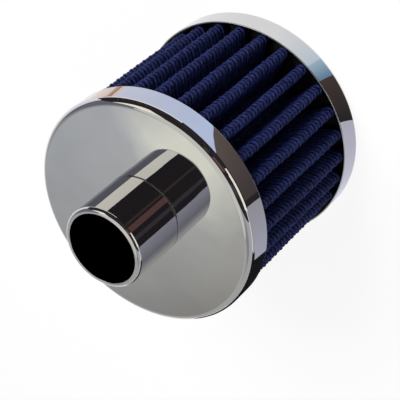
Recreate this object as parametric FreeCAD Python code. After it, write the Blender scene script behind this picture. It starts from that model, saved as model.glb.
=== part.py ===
import FreeCAD, Part
import math
import os

from FreeCAD import Vector

# All sizes are in millimetres. The axis is Z, the part stands on its top cap and the neck points up.

# Overall sizes
neck_diameter = 25.4
neck_length = 19.5
cap_diameter = 72.6
body_height = 64.0

# Pressed end caps
cap_height = 9.0
cap_sheet = 0.6
cap_corner_radius = 2.0
neck_hole_clearance = 0.1

# Neck tube
neck_wall = 1.6
lip_radius = 1.3
shoulder_width = 0.5
flange_width = 2.8
flange_thickness = 1.2
bore_chamfer = 0.6

# Flats that make up the round corner of a cap or of the neck's lip
corner_flats = 3

# Potting compound that bonds the pleats into the caps
potting_depth = 4.0

# Pleated filter media
pleat_count = 28
pleat_depth = 12.5
pleat_width = 3.4
valley_gap = 1.8
media_thickness = 1.3
media_side_clearance = 0.2

# Sizes that follow from the ones above
cap_radius = cap_diameter / 2
cavity_radius = cap_radius - cap_sheet
cavity_height = cap_height - cap_sheet
cavity_chamfer = (cap_corner_radius - cap_sheet) * (2 - math.sqrt(2))
neck_radius = neck_diameter / 2
bore_radius = neck_radius - neck_wall
spigot_radius = neck_radius - shoulder_width
flange_radius = neck_radius + flange_width
base_foot = body_height - cap_height
base_inside = body_height - cap_sheet
flange_foot = base_inside - flange_thickness
mouth_height = body_height + neck_length
media_foot = cap_sheet + potting_depth
media_head = base_inside - potting_depth
crest_radius = cavity_radius - media_side_clearance
crest_centre = crest_radius - pleat_width / 2
valley_centre = crest_radius - pleat_depth + valley_gap / 2
pleat_angle = 2 * math.pi / pleat_count
axis = Vector(0, 0, 1)
same_place = 1e-4


def cylinder(radius, foot, head):
    return Part.makeCylinder(radius, head - foot, Vector(0, 0, foot), axis)


# A cylinder whose upper corner is rounded in a few flats
def rounded_cylinder(radius, foot, head, corner_radius):
    outline = [Vector(0, 0, foot), Vector(radius, 0, foot)]
    for step in range(corner_flats + 1):
        angle = step / corner_flats * math.pi / 2
        inward = corner_radius * (1 - math.cos(angle))
        down = corner_radius * (1 - math.sin(angle))
        outline.append(Vector(radius - inward, 0, head - down))
    outline.append(Vector(0, 0, head))
    section = Part.Face(Part.makePolygon(outline + outline[:1]))
    return section.revolve(Vector(0, 0, 0), axis, 360)


def rings(shape, radius, height):
    circles = [edge for edge in shape.Edges if isinstance(edge.Curve, Part.Circle)]
    same_size = [edge for edge in circles if abs(edge.Curve.Radius - radius) < same_place]
    return [edge for edge in same_size if abs(edge.Curve.Center.z - height) < same_place]


# The inside of a cap, face up with its open rim at z = 0: the corner's chamfer keeps the sheet's thickness
def cup_cavity():
    inside = cylinder(cavity_radius, 0, cavity_height)
    return inside.makeChamfer(cavity_chamfer, rings(inside, cavity_radius, cavity_height))


# A pressed cap in the same place: a cup of thin sheet with a rounded corner
def pressed_cap():
    return rounded_cylinder(cap_radius, 0, cap_height, cap_corner_radius).cut(cup_cavity())


# Places a form that was made face up as the base cap's or, turned over, as the top cap's
def at_base(shape):
    return shape.translated(Vector(0, 0, base_foot))


def at_top(shape):
    return shape.rotated(Vector(0, 0, 0), Vector(1, 0, 0), 180).translated(Vector(0, 0, cap_height))


def make_base_cap():
    return at_base(pressed_cap()).cut(cylinder(spigot_radius + neck_hole_clearance, 0, body_height))


def make_top_cap():
    return at_top(pressed_cap())


# The tube stands with its shoulder on the plate, passes through it and is spread to a flange under it
def make_neck_tube():
    shank = rounded_cylinder(neck_radius, body_height, mouth_height, lip_radius)
    spigot = cylinder(spigot_radius, flange_foot, body_height)
    flange = cylinder(flange_radius, flange_foot, base_inside)
    tube = shank.fuse([spigot, flange]).cut(cylinder(bore_radius, 0, mouth_height))
    return tube.makeChamfer(bore_chamfer, rings(tube, bore_radius, flange_foot))


def make_base_potting():
    ring = at_base(cup_cavity()).common(cylinder(cap_radius, media_head, body_height))
    return ring.cut(cylinder(flange_radius, 0, body_height))


def make_top_potting():
    return at_top(cup_cavity()).common(cylinder(cap_radius, 0, media_foot))


def polar(radius, angle):
    return Vector(radius * math.cos(angle), radius * math.sin(angle), 0)


def mirrored(point):
    return Vector(point.x, -point.y, point.z)


def turned(point, angle):
    return polar(math.hypot(point.x, point.y), math.atan2(point.y, point.x) + angle)


def round_fold(start, middle, end):
    return Part.Arc(start, middle, end).toShape()


def pinched_fold(start, middle, end):
    return Part.makeLine(start, end)


# One face of the folded sheet: a crest, a straight flank, a round valley and a flank for each pleat
def fold_wire(depth_in_sheet, crest_edge):
    crest_fold = pleat_width / 2 - depth_in_sheet
    valley_fold = valley_gap / 2 + depth_in_sheet
    crest = polar(crest_centre, 0)
    valley = polar(valley_centre, pleat_angle / 2)
    across = valley - crest
    lean = math.acos((crest_fold + valley_fold) / across.Length)
    flank_normal = polar(1, math.atan2(across.y, across.x) - lean)
    tip = crest + polar(crest_fold, 0)
    flank_top = crest + flank_normal * crest_fold
    flank_foot = valley - flank_normal * valley_fold
    bottom = polar(valley_centre - valley_fold, pleat_angle / 2)
    edges = []
    for pleat in range(pleat_count):
        here = pleat * pleat_angle
        after = here + pleat_angle
        start = turned(mirrored(flank_top), here)
        top = turned(flank_top, here)
        foot = turned(flank_foot, here)
        next_foot = turned(mirrored(flank_foot), after)
        next_top = turned(mirrored(flank_top), after)
        edges.append(crest_edge(start, turned(tip, here), top))
        edges.append(Part.makeLine(top, foot))
        edges.append(round_fold(foot, turned(bottom, here), next_foot))
        edges.append(Part.makeLine(next_foot, next_top))
    return Part.Wire(edges)


# Outside, the crests are round; inside them, the sheet is pinched together
def make_pleated_media():
    sheet = Part.Face(fold_wire(0, round_fold)).cut(Part.Face(fold_wire(media_thickness, pinched_fold)))
    return sheet.translated(Vector(0, 0, media_foot)).extrude(axis * (media_head - media_foot))


pieces = {
    "base_cap": make_base_cap(),
    "neck_tube": make_neck_tube(),
    "base_potting": make_base_potting(),
    "pleated_media": make_pleated_media(),
    "top_potting": make_top_potting(),
    "top_cap": make_top_cap(),
}

os.makedirs("parts", exist_ok=True)
for node, shape in pieces.items():
    shape.exportStep("parts/" + node + ".step")
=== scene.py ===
import math
import random

import bpy
import numpy as np
from mathutils import Matrix, Vector


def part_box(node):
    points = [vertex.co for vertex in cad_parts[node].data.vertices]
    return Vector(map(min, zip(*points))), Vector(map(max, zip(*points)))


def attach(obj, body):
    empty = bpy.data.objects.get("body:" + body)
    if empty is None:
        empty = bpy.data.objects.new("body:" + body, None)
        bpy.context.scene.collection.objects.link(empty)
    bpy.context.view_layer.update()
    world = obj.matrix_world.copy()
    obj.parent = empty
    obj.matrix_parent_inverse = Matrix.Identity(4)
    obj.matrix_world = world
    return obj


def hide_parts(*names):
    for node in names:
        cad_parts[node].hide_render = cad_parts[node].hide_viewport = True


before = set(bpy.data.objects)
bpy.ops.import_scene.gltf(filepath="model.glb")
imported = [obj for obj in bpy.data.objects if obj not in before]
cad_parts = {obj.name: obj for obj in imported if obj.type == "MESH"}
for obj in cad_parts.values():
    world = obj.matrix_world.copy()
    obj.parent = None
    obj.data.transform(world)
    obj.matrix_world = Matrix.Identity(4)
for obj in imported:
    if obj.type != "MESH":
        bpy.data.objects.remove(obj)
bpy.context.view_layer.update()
MM = 0.001

# Sizes read from the frame
base_low, base_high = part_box("base_cap")
_, neck_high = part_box("neck_tube")
media_low, media_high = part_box("pleated_media")
top_low, top_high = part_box("top_cap")
PLATE_Z = base_high.z
MOUTH_Z = neck_high.z
CAP_RADIUS = base_high.x
FLANGE_RADIUS = neck_high.x
CREST_RADIUS = media_high.x

# Sizes of the chromed pieces; the plate is crowned like part of a large ball
SHEET = 0.6 * MM
CAP_CORNER = 2.2 * MM
SHEET_EDGE = 0.28 * MM
FINE_EDGE = 0.08 * MM
CROWN_RADIUS = 1300 * MM
CROWN_RISE = 0.35 * MM
NECK_RADIUS = 12.7 * MM
NECK_WALL = 1.6 * MM
SHOULDER = 0.5 * MM
FOOT_EDGE = 0.25 * MM
SEAM_GAP = 0.15 * MM
NECK_HOLE_CLEARANCE = 0.1 * MM
LIP_OUTER = 1.3 * MM
LIP_INNER = 0.25 * MM
FLANGE_THICKNESS = 1.2 * MM
FLANGE_EDGE = 0.3 * MM
BORE_EDGE = 0.6 * MM
HOLE_RADIUS = NECK_RADIUS - SHOULDER + NECK_HOLE_CLEARANCE
LATHE_STEPS = 288
CORNER_STEPS = 10

# Sizes of the pleated media
PLEATS = 28
PLEAT_DEPTH = 12.5 * MM
PLEAT_WIDTH = 3.4 * MM
VALLEY_GAP = 1.8 * MM
GAUZE_THICKNESS = 0.8 * MM
CROSS_WIRE_RADIUS = 0.42 * MM
LONG_WIRE_RADIUS = 0.16 * MM
WEAVE_DEPTH = 0.07 * MM
RIB_PITCH = 1.66 * MM
RIB_MARGIN = 1.0 * MM
CROSS_WIRE_SIDES = 6
LONG_WIRE_SIDES = 4
LONG_WIRES_PER_PLEAT = 9
CREST_STEPS = 6
FLANK_STEPS = 2
VALLEY_STEPS = 2
GAUZE_ROWS = 28
PLEAT_ANGLE = 2 * math.pi / PLEATS
CREST_CENTRE = CREST_RADIUS - PLEAT_WIDTH / 2
VALLEY_CENTRE = CREST_RADIUS - PLEAT_DEPTH + VALLEY_GAP / 2
WIRE_DEPTH = CROSS_WIRE_RADIUS + WEAVE_DEPTH

# Small differences from pleat to pleat, with the number of waves along a pleat
SWAY = 0.1 * MM
SWAY_WAVES = 1
RIPPLE_SHARE = 0.5
RIPPLE_WAVES = 2.3
SWELL = 0.12 * MM
SWELL_WAVES = 1.4
SLANT = 0.06 * MM
SLANT_WAVES = 3.1
PHASES_PER_PLEAT = 4
SEED = 7

# Looks: the part of a noise's range that is used, the plating and the dyed threads
NOISE_LOW, NOISE_HIGH = 0.3, 0.7
RAMP_LOW, RAMP_HIGH = 0.35, 0.65
CHROME_TINT = (0.64, 0.64, 0.65)
CHROME_HAZE = 0.94
CLOTH_SPECULAR = 0.12
CLOTH_ROUGHNESS_SPREAD = 0.2

# The camera as fitted to the photo: tilt from the part's axis, roll and azimuth in degrees,
# its shift along its own axes in metres, and its lens and sensor in millimetres
CAMERA_TILT = 46.16
CAMERA_ROLL = -48.43
CAMERA_AZIMUTH = 266.8
CAMERA_FIT_AZIMUTH = 88.49
CAMERA_OFFSET = Vector((16.646 * MM, 4.219 * MM, 400.65 * MM))
CAMERA_LENS = 126.21
CAMERA_SENSOR = 36.0

# The studio, in metres, and how much of the plain white shows on its floor and lights the part
STUDIO_RADIUS = 1.2
INLAY_RADIUS = 1.15
FLOOR_SIZE = 6.0
FLOOR_TONE = (0.9, 0.9, 0.9, 1)
FLOOR_WHITE = 0.85
WORLD_LIGHT = 0.45
WHITE = (1, 1, 1, 1)
CARD_STEPS = 24
CARD_LIFT = 0.05 * MM


def add_mesh(name, vertices, faces):
    mesh = bpy.data.meshes.new(name)
    mesh.from_pydata(vertices, [], faces)
    mesh.shade_smooth()
    piece = bpy.data.objects.new(name, mesh)
    bpy.context.scene.collection.objects.link(piece)
    return piece


# Materials

def new_material(name):
    material = bpy.data.materials.new(name)
    material.use_nodes = True
    tree = material.node_tree
    return material, tree, tree.nodes["Principled BSDF"]


def add_node(tree, kind, **inputs):
    """A node with its inputs set by name, with _ for a blank."""
    node = tree.nodes.new(kind)
    for key, value in inputs.items():
        node.inputs[key.replace("_", " ")].default_value = value
    return node


def noise(tree, scale, detail):
    place = tree.nodes.new("ShaderNodeTexCoord")
    node = add_node(tree, "ShaderNodeTexNoise", Scale=scale, Detail=detail)
    tree.links.new(place.outputs["Object"], node.inputs["Vector"])
    return node.outputs["Fac"]


def spread(tree, value, low, high):
    """Maps a noise value to the range from low to high."""
    limits = {"From_Min": NOISE_LOW, "From_Max": NOISE_HIGH, "To_Min": low, "To_Max": high}
    node = add_node(tree, "ShaderNodeMapRange", **limits)
    tree.links.new(value, node.inputs["Value"])
    return node.outputs["Result"]


def ramp(tree, value, dark, light):
    """Maps a noise value to a colour from dark to light."""
    node = tree.nodes.new("ShaderNodeValToRGB")
    low, high = node.color_ramp.elements
    low.position, high.position = RAMP_LOW, RAMP_HIGH
    low.color, high.color = (*dark, 1), (*light, 1)
    tree.links.new(value, node.inputs["Fac"])
    return node.outputs["Color"]


def bump(tree, shader, value, strength, depth):
    node = add_node(tree, "ShaderNodeBump", Strength=strength, Distance=depth)
    tree.links.new(value, node.inputs["Height"])
    tree.links.new(node.outputs["Normal"], shader.inputs["Normal"])


def chrome(name, tint):
    """Polished plate: a mirror with faint haze patches, wiping marks and a slight waviness."""
    material, tree, shader = new_material(name)
    shader.inputs["Metallic"].default_value = 1.0
    dark = tuple(CHROME_HAZE * part for part in tint)
    haze = noise(tree, scale=60, detail=3)
    wiping = noise(tree, scale=45, detail=4)
    waves = noise(tree, scale=110, detail=1)
    tree.links.new(ramp(tree, haze, dark, tint), shader.inputs["Base Color"])
    tree.links.new(spread(tree, wiping, low=0.015, high=0.04), shader.inputs["Roughness"])
    bump(tree, shader, waves, strength=0.15, depth=0.2 * MM)
    return material


def cloth(name, dark, light, thread, roughness):
    """Dyed cotton or coated wire: colour and shine vary from thread to thread."""
    material, tree, shader = new_material(name)
    shader.inputs["Specular IOR Level"].default_value = CLOTH_SPECULAR
    dye = noise(tree, scale=900, detail=4)
    wear = noise(tree, scale=500, detail=2)
    threads = noise(tree, scale=thread, detail=3)
    roughest = roughness + CLOTH_ROUGHNESS_SPREAD
    tree.links.new(ramp(tree, dye, dark, light), shader.inputs["Base Color"])
    tree.links.new(spread(tree, wear, roughness, roughest), shader.inputs["Roughness"])
    bump(tree, shader, threads, strength=0.6, depth=0.1 * MM)
    return material


def potting(name, dark, light):
    """Cast compound: nearly one tone, with dull patches and a slightly uneven skin."""
    material, tree, shader = new_material(name)
    patches = noise(tree, scale=200, detail=4)
    dullness = noise(tree, scale=150, detail=3)
    skin = noise(tree, scale=120, detail=2)
    tree.links.new(ramp(tree, patches, dark, light), shader.inputs["Base Color"])
    tree.links.new(spread(tree, dullness, low=0.35, high=0.6), shader.inputs["Roughness"])
    bump(tree, shader, skin, strength=0.3, depth=0.2 * MM)
    return material


cap_chrome = chrome("cap_chrome", CHROME_TINT)
neck_chrome = chrome("neck_chrome", CHROME_TINT)
# The gauze's navy is its own colour, but its tones are also painted near black, as painted shade of the
# deep valleys between the pleats.
gauze_cotton = cloth(
    "gauze_cotton", dark=(0.0018, 0.0026, 0.014), light=(0.0045, 0.007, 0.033), thread=2500, roughness=0.7
)
# The coated wire is the same navy as the gauze; its tones are painted lighter than the gauze's as a painted
# highlight of the lit crests.
screen_wire = cloth(
    "screen_wire", dark=(0.0055, 0.009, 0.048), light=(0.018, 0.025, 0.105), thread=1500, roughness=0.5
)
black_potting = potting("black_potting", dark=(0.008, 0.008, 0.008), light=(0.02, 0.02, 0.02))


# Chromed pieces, turned from sections with rounded corners

def rounded_section(corners):
    """Points (r, z, normal r, normal z) along a section that runs clockwise.

    Corners are (r, z, radius), and a radius of 0 marks a corner on the axis.
    """
    points = []
    count = len(corners)
    for index, (r, z, radius) in enumerate(corners):
        here = Vector((r, z))
        before = (Vector(corners[index - 1][:2]) - here).normalized()
        after = (Vector(corners[(index + 1) % count][:2]) - here).normalized()
        if radius == 0:
            points.append((r, z, 0, 1 if index == 0 else -1))
            continue
        half = before.angle(after) / 2
        centre = here + (before + after).normalized() * (radius / math.sin(half))
        reach = radius / math.tan(half)
        start = (here + before * reach - centre).normalized()
        end = (here + after * reach - centre).normalized()
        outward = 1 if before.x * after.y - before.y * after.x > 0 else -1
        for step in range(CORNER_STEPS + 1):
            away = start.slerp(end, step / CORNER_STEPS)
            spot = centre + away * radius
            points.append((spot.x, spot.y, away.x * outward, away.y * outward))
    return points


def lathe(name, corners):
    """A section turned round the part's axis, with the normals of its rounded corners."""
    section = rounded_section(corners)
    vertices, normals, index = [], [], {}
    for row, (r, z, normal_r, normal_z) in enumerate(section):
        for step in range(1 if r == 0 else LATHE_STEPS):
            angle = 2 * math.pi * step / LATHE_STEPS
            index[row, step] = len(vertices)
            vertices.append((r * math.cos(angle), r * math.sin(angle), z))
            normals.append((normal_r * math.cos(angle), normal_r * math.sin(angle), normal_z))
    faces = []
    for row in range(len(section)):
        after = (row + 1) % len(section)
        if section[row][0] == 0 and section[after][0] == 0:
            continue
        for step in range(LATHE_STEPS):
            far = (step + 1) % LATHE_STEPS
            loop = [(row, step), (after, step), (after, far), (row, far)]
            corners_at = [index.get(key, index.get((key[0], 0))) for key in loop]
            faces.append(list(dict.fromkeys(corners_at)))
    piece = add_mesh(name, vertices, faces)
    piece.data.normals_split_custom_set_from_vertices(normals)
    return piece


def stand_for(piece, node, material):
    """Dresses a piece and puts it in the place of a CAD node."""
    piece.data.materials.append(material)
    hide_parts(node)
    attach(piece, "root")


def crown_tangent(touch, radius):
    """Height at a radius of the straight line that touches the crowned plate at another radius."""
    return PLATE_Z + CROWN_RISE - touch * (2 * radius - touch) / (2 * CROWN_RADIUS)


CAP_INNER = CAP_RADIUS - SHEET
CROWN_START = HOLE_RADIUS + 2 * FINE_EDGE
CROWN_END = CAP_RADIUS - CAP_CORNER - SHEET_EDGE
CORNER_Z = crown_tangent(CROWN_END, CAP_RADIUS)


def make_base_cap():
    hole_top = crown_tangent(CROWN_START, HOLE_RADIUS)
    middle = (CROWN_START + CROWN_END) / 2
    return lathe("chromed_base_cap", [
        (CAP_RADIUS, CORNER_Z, CAP_CORNER),
        (CAP_RADIUS, base_low.z, SHEET_EDGE),
        (CAP_INNER, base_low.z, SHEET_EDGE),
        (CAP_INNER, CORNER_Z - SHEET, CAP_CORNER - SHEET),
        (HOLE_RADIUS, hole_top - SHEET, FINE_EDGE),
        (HOLE_RADIUS, hole_top, FINE_EDGE),
        (middle, crown_tangent(CROWN_START, middle), CROWN_RADIUS),
    ])


def make_base_potting():
    """The compound under the crowned plate, a hair clear of it, with a level face towards the pleats."""
    outer = CAP_INNER - FINE_EDGE
    inner = FLANGE_RADIUS + FINE_EDGE
    return lathe("cast_base_potting", [
        (outer, CORNER_Z - SHEET - FINE_EDGE, CAP_CORNER - SHEET),
        (outer, media_high.z, FLANGE_EDGE),
        (inner, media_high.z, FLANGE_EDGE),
        (inner, crown_tangent(CROWN_START, inner) - 2 * SHEET, FINE_EDGE),
    ])


def make_top_cap():
    over = top_low.z + SHEET
    return lathe("chromed_top_cap", [
        (0, over, 0),
        (CAP_INNER, over, CAP_CORNER - SHEET),
        (CAP_INNER, top_high.z, SHEET_EDGE),
        (CAP_RADIUS, top_high.z, SHEET_EDGE),
        (CAP_RADIUS, top_low.z, CAP_CORNER),
        (0, top_low.z, 0),
    ])


def make_neck_tube():
    """The tube, whose shoulder stays a hair above the plate, so that a fine dark seam shows."""
    bore = NECK_RADIUS - NECK_WALL
    spigot = NECK_RADIUS - SHOULDER
    foot = crown_tangent(NECK_RADIUS, NECK_RADIUS) + SEAM_GAP
    seat = PLATE_Z - SHEET
    return lathe("chromed_neck_tube", [
        (bore, MOUTH_Z, LIP_INNER),
        (NECK_RADIUS, MOUTH_Z, LIP_OUTER),
        (NECK_RADIUS, foot, FOOT_EDGE),
        (spigot, foot, FINE_EDGE),
        (spigot, seat, FINE_EDGE),
        (FLANGE_RADIUS, seat, FINE_EDGE),
        (FLANGE_RADIUS, seat - FLANGE_THICKNESS, FLANGE_EDGE),
        (bore, seat - FLANGE_THICKNESS, BORE_EDGE),
    ])


stand_for(make_base_cap(), "base_cap", cap_chrome)
stand_for(make_top_cap(), "top_cap", cap_chrome)
stand_for(make_neck_tube(), "neck_tube", neck_chrome)
stand_for(make_base_potting(), "base_potting", black_potting)
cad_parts["top_potting"].data.materials.clear()
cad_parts["top_potting"].data.materials.append(black_potting)


# Pleated media: gauze folded together with a woven wire screen

def fold_line(depth):
    """One pleat's line from valley to valley, at a depth below the screen's face.

    Its columns are x, y, normal x, normal y and the length from the crest's tip.
    """
    crest_fold = PLEAT_WIDTH / 2 - depth
    valley_fold = VALLEY_GAP / 2 + depth
    crest = np.array([CREST_CENTRE, 0])
    valley = VALLEY_CENTRE * np.array([math.cos(PLEAT_ANGLE / 2), math.sin(PLEAT_ANGLE / 2)])
    across = valley - crest
    lean = math.acos((crest_fold + valley_fold) / np.hypot(*across))
    flank = math.atan2(across[1], across[0]) - lean
    normal = np.array([math.cos(flank), math.sin(flank)])
    rows = []
    for angle in np.linspace(0, flank, CREST_STEPS):
        away = np.array([math.cos(angle), math.sin(angle)])
        rows.append([*(crest + crest_fold * away), *away])
    top, foot = crest + crest_fold * normal, valley - valley_fold * normal
    for share in np.linspace(0, 1, FLANK_STEPS + 2)[1:-1]:
        rows.append([*(top + (foot - top) * share), *normal])
    for angle in np.linspace(flank + math.pi, PLEAT_ANGLE / 2 + math.pi, VALLEY_STEPS + 1):
        away = np.array([math.cos(angle), math.sin(angle)])
        rows.append([*(valley + valley_fold * away), *-away])
    half = np.array(rows)
    length = np.concatenate([[0], np.cumsum(np.hypot(*np.diff(half[:, :2], axis=0).T))])
    half = np.column_stack([half, length])
    return np.vstack([(half * [1, -1, 1, -1, -1])[:0:-1], half])


dice = random.Random(SEED)
pleat_phases = [
    [dice.uniform(0, 2 * math.pi) for phase in range(PHASES_PER_PLEAT)] for pleat in range(PLEATS)
]


def settle(pleat, x, y, z):
    """Turns a pleat's points to their place on the ring, with the small sway and swell of folded cloth."""
    share = np.clip((np.hypot(x, y) - CREST_RADIUS + PLEAT_DEPTH) / PLEAT_DEPTH, 0, 1)
    along = 2 * math.pi * (z - media_low.z) / (media_high.z - media_low.z)
    sway, ripple, swell, slant = pleat_phases[pleat]
    wave = np.sin(SWAY_WAVES * along + sway) + RIPPLE_SHARE * np.sin(RIPPLE_WAVES * along + ripple)
    tilt = math.sin(slant) + np.sin(SLANT_WAVES * along + slant)
    y = y + SWAY * share * wave
    x = x - SWELL * share * (1 + np.sin(SWELL_WAVES * along + swell)) / 2
    z = z + SLANT * share * tilt + SLANT * y / PLEAT_WIDTH
    turn = pleat * PLEAT_ANGLE
    return np.column_stack([
        x * math.cos(turn) - y * math.sin(turn),
        x * math.sin(turn) + y * math.cos(turn),
        z + np.zeros_like(x),
    ])


def ring_of(lines):
    """Joins one line per pleat, each from valley to valley, to a ring without doubled points."""
    return np.vstack([line[:-1] for line in lines])


def strip_faces(columns, rows, closed_columns, closed_rows):
    """Quads of a grid whose points run column by column, each column of that many rows."""
    faces = []
    for column in range(columns if closed_columns else columns - 1):
        right = (column + 1) % columns
        for row in range(rows if closed_rows else rows - 1):
            up = (row + 1) % rows
            faces.append((column * rows + row, right * rows + row, right * rows + up, column * rows + up))
    return faces


def make_gauze():
    """The folded sheet, whose outer face lies at the middle of the wires."""
    heights = np.linspace(media_low.z, media_high.z, GAUZE_ROWS)
    rings = []
    for depth, levels in ((WIRE_DEPTH, heights), (WIRE_DEPTH + GAUZE_THICKNESS, heights[::-1])):
        line = fold_line(depth)
        for z in levels:
            flat = np.full(len(line), z)
            rings.append(ring_of([settle(pleat, line[:, 0], line[:, 1], flat) for pleat in range(PLEATS)]))
    grid = np.stack(rings, axis=1)
    grid[..., 2] = np.clip(grid[..., 2], media_low.z, media_high.z)
    columns, rows = grid.shape[:2]
    return add_mesh("pleated_gauze", grid.reshape(-1, 3).tolist(), strip_faces(columns, rows, True, True))


def shown_ribs():
    """Heights of the cross wires, from just inside one cap's rim to just inside the other's."""
    low, high = top_high.z - RIB_MARGIN, base_low.z + RIB_MARGIN
    count = int((high - low) / RIB_PITCH) + 1
    return (low + high) / 2 + RIB_PITCH * (np.arange(count) - (count - 1) / 2)


def join_tubes(name, grids, closed):
    """One mesh of many tubes, each given as a grid of rings; tubes that aren't closed get end faces."""
    vertices, faces = [], []
    for grid in grids:
        columns, rows = grid.shape[:2]
        start = len(vertices)
        vertices.extend(grid.reshape(-1, 3).tolist())
        quads = strip_faces(columns, rows, closed, True)
        faces.extend([[start + corner for corner in quad] for quad in quads])
        if not closed:
            last = start + (columns - 1) * rows
            faces.append([start + row for row in range(rows)])
            faces.append([last + row for row in reversed(range(rows))])
    return add_mesh(name, vertices, faces)


def tube_angles(sides):
    return [2 * math.pi * side / sides for side in range(sides)]


def make_cross_wires():
    """The screen's heavier wires, which run round the drum over every crest and into every valley."""
    grids = []
    for rib, z in enumerate(shown_ribs()):
        x, y, out_x, out_y = fold_line(WIRE_DEPTH)[:, :4].T
        lift = WEAVE_DEPTH * (-1) ** rib
        sides = []
        for angle in tube_angles(CROSS_WIRE_SIDES):
            out = lift + CROSS_WIRE_RADIUS * math.cos(angle)
            level = np.full(len(x), z + CROSS_WIRE_RADIUS * math.sin(angle))
            turns = [settle(pleat, x + out * out_x, y + out * out_y, level) for pleat in range(PLEATS)]
            sides.append(ring_of(turns))
        grids.append(np.stack(sides, axis=1))
    return join_tubes("screen_cross_wires", grids, True)


def make_long_wires():
    """The screen's finer wires, which run along the pleats, over and under the cross wires."""
    line = fold_line(WIRE_DEPTH)
    spacing = 2 * line[-1, 4] / LONG_WIRES_PER_PLEAT
    heights = shown_ribs()
    weave = WEAVE_DEPTH * (-1.0) ** np.arange(len(heights))
    grids = []
    for pleat in range(PLEATS):
        for wire in range(LONG_WIRES_PER_PLEAT):
            length = (wire - (LONG_WIRES_PER_PLEAT - 1) / 2) * spacing
            x, y, out_x, out_y = (np.interp(length, line[:, 4], line[:, column]) for column in range(4))
            sides = []
            for angle in tube_angles(LONG_WIRE_SIDES):
                out = weave * (-1) ** wire + LONG_WIRE_RADIUS * math.cos(angle)
                side = LONG_WIRE_RADIUS * math.sin(angle)
                wire_x = x + out * out_x - side * out_y
                wire_y = y + out * out_y + side * out_x
                sides.append(settle(pleat, wire_x, wire_y, heights))
            grids.append(np.stack(sides, axis=1))
    return join_tubes("screen_long_wires", grids, False)


stand_for(make_gauze(), "pleated_media", gauze_cotton)
for wires in (make_cross_wires(), make_long_wires()):
    wires.data.materials.append(screen_wire)
    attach(wires, "root")


# Studio: a pale floor, soft lamps, and cards that only the chrome sees

def make_card_light():
    """One glowing material for all cards, which takes each card's own tone."""
    material = bpy.data.materials.new("card_light")
    material.use_nodes = True
    tree = material.node_tree
    tree.nodes.clear()
    tone = tree.nodes.new("ShaderNodeVertexColor")
    tone.layer_name = "tone"
    light = tree.nodes.new("ShaderNodeEmission")
    out = tree.nodes.new("ShaderNodeOutputMaterial")
    tree.links.new(tone.outputs["Color"], light.inputs["Color"])
    tree.links.new(light.outputs["Emission"], out.inputs["Surface"])
    return material


card_light = make_card_light()


def add_card(name, spots, tones):
    """A card as a square grid of points, seen only in reflections."""
    piece = add_mesh(name, spots, strip_faces(CARD_STEPS, CARD_STEPS, False, False))
    layer = piece.data.color_attributes.new("tone", "FLOAT_COLOR", "POINT")
    layer.data.foreach_set("color", np.column_stack([tones, np.ones(len(tones))]).ravel())
    piece.data.materials.append(card_light)
    piece.visible_camera = False
    piece.visible_diffuse = False
    piece.visible_shadow = False


def card_grid(start, end, low, high):
    """Columns from start to end, and rows from low to high in each."""
    return [(u, v) for u in np.linspace(start, end, CARD_STEPS) for v in np.linspace(low, high, CARD_STEPS)]


def blend(corner_tones):
    """Tones over a card from those of its corners: low start, high start, low end, high end."""
    low_start, high_start, low_end, high_end = np.array(corner_tones)
    tones = []
    for across, up in card_grid(0, 1, 0, 1):
        start = (1 - up) * low_start + up * high_start
        end = (1 - up) * low_end + up * high_end
        tones.append((1 - across) * start + across * end)
    return tones


def wall_card(name, start, end, low, high, corner_tones, radius=STUDIO_RADIUS):
    """A curved card round the part, between two azimuths and two heights in degrees.

    Azimuths count from the camera's side, and heights are seen from the plate.
    """
    spots = []
    for azimuth, height in card_grid(start, end, low, high):
        turn, rise = math.radians(azimuth + CAMERA_AZIMUTH), math.radians(height)
        level = radius * math.cos(rise)
        spots.append((level * math.cos(turn), level * math.sin(turn), PLATE_Z + radius * math.sin(rise)))
    add_card(name, spots, blend(corner_tones))


def inlay_card(name, start, end, low, high, corner_tones):
    """A wall card that stands a little before the others."""
    wall_card(name, start, end, low, high, corner_tones, INLAY_RADIUS)


def floor_card(name, near, far, tones, layer=1):
    """A patch that lies on the floor, and whose tones run from its start to its end.

    Near and far are its arcs: a radius in millimetres, then a start and an end azimuth in degrees
    from the camera's side.
    """
    near, far = np.array(near), np.array(far)
    spots = []
    for across, outward in card_grid(0, 1, 0, 1):
        radius, start, end = near + (far - near) * outward
        turn = math.radians(start + (end - start) * across + CAMERA_AZIMUTH)
        spots.append((radius * MM * math.cos(turn), radius * MM * math.sin(turn), layer * CARD_LIFT))
    start_tone, end_tone = tones
    add_card(name, spots, blend([start_tone, start_tone, end_tone, end_tone]))


def even_card(name, start, end, near, far, tone, layer=1):
    """A patch on the floor of one tone, with straight sides."""
    floor_card(name, (near, start, end), (far, start, end), (tone, tone), layer)


# Tones of the room that the chrome reflects
BLACK = (0.012, 0.012, 0.016)
DARK = (0.03, 0.025, 0.028)
CHARCOAL = (0.07, 0.065, 0.075)
UMBER = (0.075, 0.055, 0.05)
RUST = (0.18, 0.095, 0.088)
BROWN = (0.075, 0.06, 0.06)
PALE_BROWN = (0.15, 0.115, 0.105)
SLATE = (0.19, 0.19, 0.23)
GREY = (0.27, 0.28, 0.32)
LAVENDER = (0.46, 0.46, 0.53)
PALE = (0.53, 0.53, 0.51)
COOL = (0.58, 0.60, 0.63)
DIM_COOL = (0.48, 0.51, 0.55)
MILD = (0.60, 0.61, 0.60)
DIM = (0.43, 0.43, 0.42)
SHADE = (0.50, 0.49, 0.46)
WARM = (0.42, 0.41, 0.37)
DARK_WARM = (0.19, 0.18, 0.16)
GLOW = (1.0, 1.0, 0.87)
CREAM = (1.23, 1.19, 1.03)
SKY = (0.66, 0.78, 1.06)
PALE_SKY = (0.80, 0.82, 0.98)
CEILING = (0.80, 0.80, 0.73)

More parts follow.
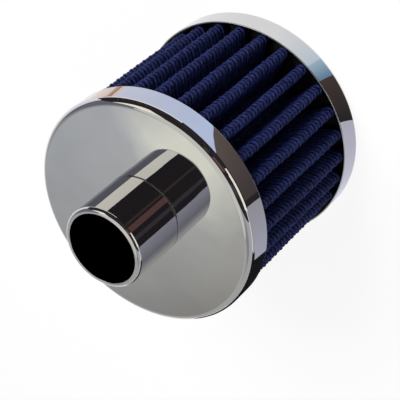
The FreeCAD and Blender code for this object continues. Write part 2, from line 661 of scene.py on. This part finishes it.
# Pairs of tones, from the start of a sheet on the floor to its end
SHEET_BROWNS = [BROWN, PALE_BROWN]
SHEET_SKIES = [SKY, PALE_SKY]
PATCH_BROWNS = [(0.03, 0.028, 0.03), (0.085, 0.06, 0.055)]
PATCH_BLUES = [(0.16, 0.30, 0.46), (0.50, 0.66, 0.80)]
PATCH_WHITES = [(0.72, 0.82, 0.92), (1.0, 1.0, 1.0)]
NEAR_LAVENDERS = [(0.78, 0.78, 0.90), (0.60, 0.60, 0.72)]
SIDE_LAVENDERS = [(0.50, 0.51, 0.62), (0.42, 0.41, 0.45)]
PEACHES = [(0.92, 0.74, 0.68), (1.0, 0.86, 0.80)]
FOLD_BROWNS = [(0.40, 0.25, 0.18), (0.70, 0.48, 0.38)]

# Heights on the walls in degrees
PANEL_FOOT = 34
SILL_FOOT = 44.5
WINDOW_FOOT = 46.5
WALL_TOP = 58

wall_card("back_wall", 163, 226, 5, WALL_TOP, [PALE] * 4)
inlay_card("back_panel_cool", 166, 181, PANEL_FOOT, SILL_FOOT, [DIM_COOL, COOL, DIM, MILD])
inlay_card("back_panel_warm", 181, 194, PANEL_FOOT, SILL_FOOT, [DIM, MILD, DARK_WARM, WARM])
inlay_card("back_window", 176, 181, WINDOW_FOOT, WALL_TOP, [GLOW] * 4)
inlay_card("back_window_sill", 176, 181, SILL_FOOT, WINDOW_FOOT, [COOL, GLOW, MILD, GLOW])
inlay_card("back_window_cool_side", 168, 176, WINDOW_FOOT, WALL_TOP, [COOL, COOL, GLOW, GLOW])
inlay_card("back_window_cool_corner", 168, 176, SILL_FOOT, WINDOW_FOOT, [COOL, COOL, COOL, GLOW])
inlay_card("back_window_warm_side", 181, 188, WINDOW_FOOT, WALL_TOP, [GLOW, GLOW, PALE, PALE])
inlay_card("back_window_warm_corner", 181, 188, SILL_FOOT, WINDOW_FOOT, [MILD, GLOW, SHADE, PALE])
inlay_card("back_wall_shade", 188, 194, SILL_FOOT, 50, [SHADE, PALE, WARM, PALE])
wall_card("corner_wall", 137, 163, 5, WALL_TOP, [GREY, GREY, PALE, PALE])
wall_card("slate_wall", 103, 137, 5, WALL_TOP, [SLATE] * 4)
wall_card("cream_window", 66, 103, PANEL_FOOT, WALL_TOP, [CREAM] * 4)
wall_card("dark_corner", 66, 103, -6, PANEL_FOOT, [DARK] * 4)
wall_card("dark_front", -60, 66, -6, WALL_TOP, [DARK] * 4)
inlay_card("brown_door", -17, -2, 15, 43, [RUST] * 4)
inlay_card("brown_post", 3, 9, 15, 52, [UMBER] * 4)
inlay_card("grey_post", -41, -30, 15, 56, [CHARCOAL] * 4)
inlay_card("low_window", -50, -20, -6, 4, [CREAM] * 4)
wall_card("pale_corner", -134, -105, 36, WALL_TOP, [PALE, PALE, GREY, GREY])
wall_card("grey_side", -105, -60, 36, WALL_TOP, [GREY, GREY, LAVENDER, LAVENDER])
wall_card("pale_side", -134, -60, 0, 36, [PALE] * 4)
wall_card("ceiling", -180, 180, WALL_TOP, 90, [CEILING] * 4)

# Radii on the floor in millimetres, as the bands and the base cap's corner reflect it
TOP_NEAR = 36.4
TOP_FAR = 60
BASE_NEAR = 89
BASE_FAR = 97.5
EDGE_FAR = 160
FLOOR_END = 1150

floor_card("brown_sheet", (BASE_NEAR, -43, 15), (BASE_FAR, -43, -2), SHEET_BROWNS)
floor_card("brown_sheet_near", (TOP_FAR, -43, 15), (BASE_NEAR, -43, 15), SHEET_BROWNS)
floor_card("sky_sheet", (BASE_NEAR, 15, 94), (BASE_FAR, -2, 94), SHEET_SKIES)
floor_card("sky_sheet_near", (TOP_FAR, 15, 94), (BASE_NEAR, 15, 94), SHEET_SKIES)
floor_card("brown_patch", (TOP_NEAR, -34, -9), (TOP_FAR, -34, -5), PATCH_BROWNS)
floor_card("blue_patch", (TOP_NEAR, -9, 1), (TOP_FAR, -5, 7), PATCH_BLUES)
floor_card("pale_patch", (TOP_NEAR, 1, 24), (TOP_FAR, 7, 28), PATCH_WHITES)
floor_card("lavender_near", (TOP_NEAR, -88, -34), (TOP_FAR, -88, -34), NEAR_LAVENDERS)
floor_card("lavender_side", (TOP_FAR, -95, -48), (400, -95, -48), SIDE_LAVENDERS)
floor_card("peach_sheet", (TOP_FAR, 94, 120), (110, 94, 120), PEACHES)
floor_card("peach_sheet_fold", (TOP_FAR, 97, 104), (110, 99, 103), FOLD_BROWNS, 2)
floor_card("black_side", (BASE_NEAR, -150, -95), (BASE_FAR, -150, -84), [BLACK, BLACK], 2)
even_card("brown_sheet_end", -48, -43, TOP_FAR, BASE_FAR, DARK)
even_card("brown_sheet_rim", -48, 32, BASE_FAR, EDGE_FAR, DARK)
even_card("black_side_near", -150, -95, 58, BASE_NEAR, BLACK, 2)
even_card("black_side_rim", -150, -84, BASE_FAR, FLOOR_END, BLACK, 2)
even_card("cream_sheet", -50, -14, EDGE_FAR, FLOOR_END, CREAM, 2)
even_card("dark_floor", -14, 103, EDGE_FAR, FLOOR_END, DARK)


def make_floor():
    """A pale floor that takes shadows, with a share of plain white where it is looked at."""
    half = FLOOR_SIZE / 2
    corners = [(-half, -half, 0), (half, -half, 0), (half, half, 0), (-half, half, 0)]
    piece = add_mesh("studio_floor", corners, [(0, 1, 2, 3)])
    material = bpy.data.materials.new("studio_floor")
    material.use_nodes = True
    tree = material.node_tree
    tree.nodes.clear()
    matt = add_node(tree, "ShaderNodeBsdfDiffuse", Color=FLOOR_TONE)
    white = add_node(tree, "ShaderNodeEmission", Color=WHITE)
    mix = tree.nodes.new("ShaderNodeMixShader")
    out = tree.nodes.new("ShaderNodeOutputMaterial")
    share = add_node(tree, "ShaderNodeMath")
    share.operation = "MULTIPLY"
    share.inputs[1].default_value = FLOOR_WHITE
    tree.links.new(seen_rays(tree), share.inputs[0])
    tree.links.new(share.outputs[0], mix.inputs["Fac"])
    tree.links.new(matt.outputs[0], mix.inputs[1])
    tree.links.new(white.outputs[0], mix.inputs[2])
    tree.links.new(mix.outputs[0], out.inputs["Surface"])
    piece.data.materials.append(material)


def seen_rays(tree):
    """1 for rays from the camera and for those that metal or glass sends on, otherwise 0."""
    path = tree.nodes.new("ShaderNodeLightPath")
    value = path.outputs["Is Camera Ray"]
    for ray in ("Is Glossy Ray", "Is Transmission Ray"):
        node = tree.nodes.new("ShaderNodeMath")
        node.operation = "MAXIMUM"
        tree.links.new(value, node.inputs[0])
        tree.links.new(path.outputs[ray], node.inputs[1])
        value = node.outputs[0]
    return value


def make_world():
    world = bpy.data.worlds.new("studio")
    bpy.context.scene.world = world
    world.use_nodes = True
    tree = world.node_tree
    background = tree.nodes["Background"]
    background.inputs["Color"].default_value = WHITE
    strength = add_node(tree, "ShaderNodeMapRange", To_Min=WORLD_LIGHT, To_Max=1.0)
    tree.links.new(seen_rays(tree), strength.inputs["Value"])
    tree.links.new(strength.outputs["Result"], background.inputs["Strength"])


def add_lamp(name, azimuth, height, distance, size, power):
    """A soft square lamp aimed at the part's middle, with its azimuth from the camera's side."""
    data = bpy.data.lights.new(name, "AREA")
    data.size = size
    data.energy = power
    lamp = bpy.data.objects.new(name, data)
    angle, rise = math.radians(azimuth + CAMERA_AZIMUTH), math.radians(height)
    away = Vector((math.cos(angle) * math.cos(rise), math.sin(angle) * math.cos(rise), math.sin(rise)))
    lamp.location = Vector((0, 0, PLATE_Z / 2)) + away * distance
    lamp.rotation_euler = away.to_track_quat("Z", "Y").to_euler()
    lamp.visible_glossy = False
    bpy.context.scene.collection.objects.link(lamp)


def make_camera():
    data = bpy.data.cameras.new("camera")
    data.sensor_width = CAMERA_SENSOR
    data.lens = CAMERA_LENS
    camera = bpy.data.objects.new("camera", data)
    bpy.context.scene.collection.objects.link(camera)
    tilt = Matrix.Rotation(math.radians(CAMERA_TILT), 4, "X")
    roll = Matrix.Rotation(math.radians(CAMERA_ROLL), 4, "Z")
    spin = Matrix.Rotation(math.radians(CAMERA_AZIMUTH - CAMERA_FIT_AZIMUTH), 4, "Z")
    plate = Matrix.Translation((0, 0, PLATE_Z))
    camera.matrix_world = plate @ spin @ (roll @ tilt).transposed() @ Matrix.Translation(CAMERA_OFFSET)
    bpy.context.scene.camera = camera


make_floor()
make_world()
add_lamp("key_lamp", azimuth=60, height=45, distance=0.7, size=0.4, power=5)
add_lamp("fill_lamp", azimuth=-60, height=30, distance=0.8, size=0.5, power=2.5)
make_camera()
bpy.context.scene.view_settings.view_transform = "Standard"
